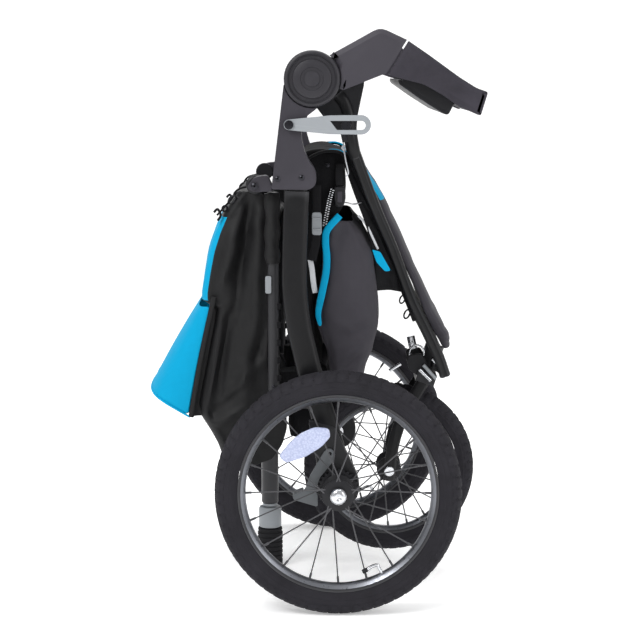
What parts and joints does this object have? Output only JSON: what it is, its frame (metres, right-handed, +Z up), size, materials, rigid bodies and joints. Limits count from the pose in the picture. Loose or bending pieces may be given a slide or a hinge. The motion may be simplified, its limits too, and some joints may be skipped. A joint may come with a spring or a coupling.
{
  "type": "baby stroller",
  "caption": "Jogging stroller folded upright on its rear wheels and a stand foot, with handle, canopy, seat, basket and spoked wheels",
  "frame": {"origin": "centre of the underside of the folded stroller's bounding box, on the floor", "axes": "+Z up, +X towards the stroller's front, +Y towards its left side"},
  "size_m": [0.567, 0.632, 0.9541],
  "materials": {
    "frame_black": "satin",
    "steel_black": "satin",
    "charcoal_plastic": "matte",
    "chrome": "polished",
    "grey_plastic": "satin",
    "tyre": "matte",
    "rim_black": "satin",
    "foot_rubber": "matte",
    "grip_rubber": "matte",
    "black_fabric": "matte",
    "teal_fabric": "matte",
    "reflector": "gloss"
  },
  "bodies": {
    "rear_frame": {"rear_leg_right": "frame_black", "rear_leg_left": "frame_black", "leg_bracket_right": "charcoal_plastic", "leg_bracket_left": "charcoal_plastic", "hub_cap_right": "charcoal_plastic", "hub_cap_left": "charcoal_plastic", "fold_pin_right": "chrome", "fold_pin_left": "chrome", "axle_bracket_right": "charcoal_plastic", "axle_bracket_left": "charcoal_plastic", "rear_axle_right": "chrome", "rear_axle_left": "chrome", "seat_rail_right": "frame_black", "seat_rail_left": "frame_black", "canopy_mount_right": "charcoal_plastic", "canopy_mount_left": "charcoal_plastic", "rear_cross_tube": "steel_black", "stand_post": "steel_black", "stand_ring": "grey_plastic", "stand_collar": "grey_plastic", "stand_foot": "foot_rubber", "seat_cross_bar": "frame_black", "latch_screw": "chrome", "seat_cushion": "black_fabric", "storage_basket": "black_fabric"},
    "front_frame": {"front_bracket_right": "charcoal_plastic", "front_bracket_left": "charcoal_plastic", "front_tube_right": "frame_black", "front_tube_left": "frame_black", "latch_pin": "chrome", "head_lug": "frame_black", "leg_rest": "black_fabric", "swivel_lock_knob": "chrome"},
    "front_fork": {"front_fork": "steel_black", "front_axle": "chrome"},
    "front_wheel": {"front_tyre": "tyre", "front_rim": "rim_black", "front_hub_spokes": "steel_black"},
    "rear_wheel_right": {"rear_tyre_right": "tyre", "rear_rim_right": "rim_black", "rear_hub_spokes_right": "steel_black", "brake_ring_right": "charcoal_plastic", "spoke_reflector_right": "reflector"},
    "rear_wheel_left": {"rear_tyre_left": "tyre", "rear_rim_left": "rim_black", "rear_hub_spokes_left": "steel_black", "brake_ring_left": "charcoal_plastic", "spoke_reflector_left": "reflector"},
    "brake_lever_right": {"brake_lever_right": "grey_plastic"},
    "brake_lever_left": {"brake_lever_left": "grey_plastic"},
    "handle": {"handle_arm_right": "charcoal_plastic", "handle_arm_left": "charcoal_plastic", "handle_grip": "grip_rubber", "handle_brace": "charcoal_plastic"},
    "latch_link": {"latch_link": "grey_plastic"},
    "canopy": {"canopy_disc_right": "charcoal_plastic", "canopy_disc_left": "charcoal_plastic", "canopy_hood": "black_fabric", "canopy_visor": "teal_fabric"}
  },
  "joints": [
    {"name": "frame_fold", "type": "hinge", "parent": "rear_frame", "child": "front_frame", "pos_m": [-0.0025, 0, 0.875], "axis": [0, -1, 0], "range_deg": [0, 52]},
    {"name": "handle_fold", "type": "hinge", "parent": "rear_frame", "child": "handle", "pos_m": [-0.0025, 0, 0.875], "axis": [0, -1, 0], "range_deg": [0, 137.8]},
    {"name": "latch_swing", "type": "hinge", "parent": "rear_frame", "child": "latch_link", "pos_m": [-0.0395, 0, 0.802], "axis": [0, -1, 0], "range_deg": [0, 70]},
    {"name": "canopy_swing", "type": "hinge", "parent": "rear_frame", "child": "canopy", "pos_m": [-0.0965, 0, 0.702], "axis": [0, 1, 0], "range_deg": [0, 95]},
    {"name": "rear_wheel_right_spin", "type": "hinge", "parent": "rear_frame", "child": "rear_wheel_right", "pos_m": [0.0405, -0.28, 0.203], "axis": [0, 1, 0], "continuous": true},
    {"name": "rear_wheel_left_spin", "type": "hinge", "parent": "rear_frame", "child": "rear_wheel_left", "pos_m": [0.0405, 0.28, 0.203], "axis": [0, 1, 0], "continuous": true},
    {"name": "fork_swivel", "type": "hinge", "parent": "front_frame", "child": "front_fork", "pos_m": [0.1415, 0, 0.185], "axis": [0.3089, 0, 0.9511], "range_deg": [-30, 30]},
    {"name": "front_wheel_spin", "type": "hinge", "parent": "front_fork", "child": "front_wheel", "pos_m": [0.1315, 0, 0.185], "axis": [0, 1, 0], "continuous": true},
    {"name": "brake_right_press", "type": "hinge", "parent": "rear_frame", "child": "brake_lever_right", "pos_m": [0.0265, -0.25, 0.262], "axis": [0, -1, 0], "range_deg": [0, 20]},
    {"name": "brake_left_press", "type": "hinge", "parent": "rear_frame", "child": "brake_lever_left", "pos_m": [0.0265, 0.25, 0.262], "axis": [0, -1, 0], "range_deg": [0, 20]}
  ],
  "couplings": [
    {"joint": "handle_fold", "follows": "frame_fold", "ratio": 2.65}
  ]
}
